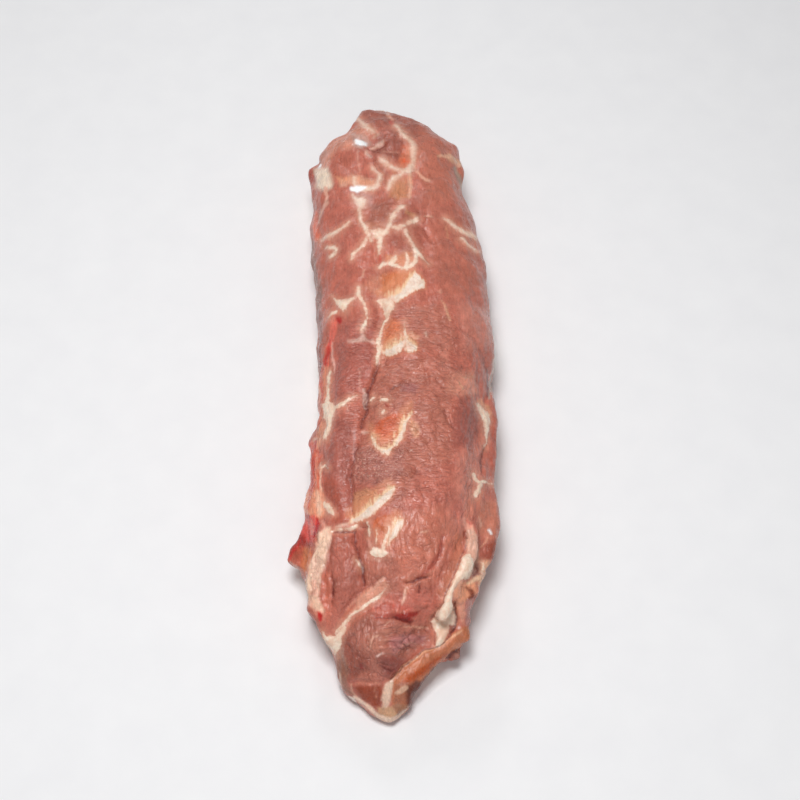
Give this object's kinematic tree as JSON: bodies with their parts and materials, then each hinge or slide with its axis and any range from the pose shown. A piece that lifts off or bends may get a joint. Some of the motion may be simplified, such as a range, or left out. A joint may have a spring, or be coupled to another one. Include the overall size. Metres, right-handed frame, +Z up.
{
  "type": "raw pork tenderloin",
  "caption": "Whole raw pork tenderloin lying flat: a long crowned muscle with a thin ragged tip, a thick rounded end, seams between its muscles and curled flaps at its sides.",
  "frame": {"origin": "middle of the meat's box, on the surface that it rests on", "axes": "+Y along the muscle from the thin tip to the thick end, +Z up through the face that lay next to the bone, +X to the side with the loose flap"},
  "size_m": [0.0858, 0.301, 0.0477],
  "materials": {
    "raw_pork": "moist raw meat with pale fat, semi-gloss"
  },
  "bodies": {
    "root": {"tenderloin": "raw_pork"}
  },
  "joints": []
}
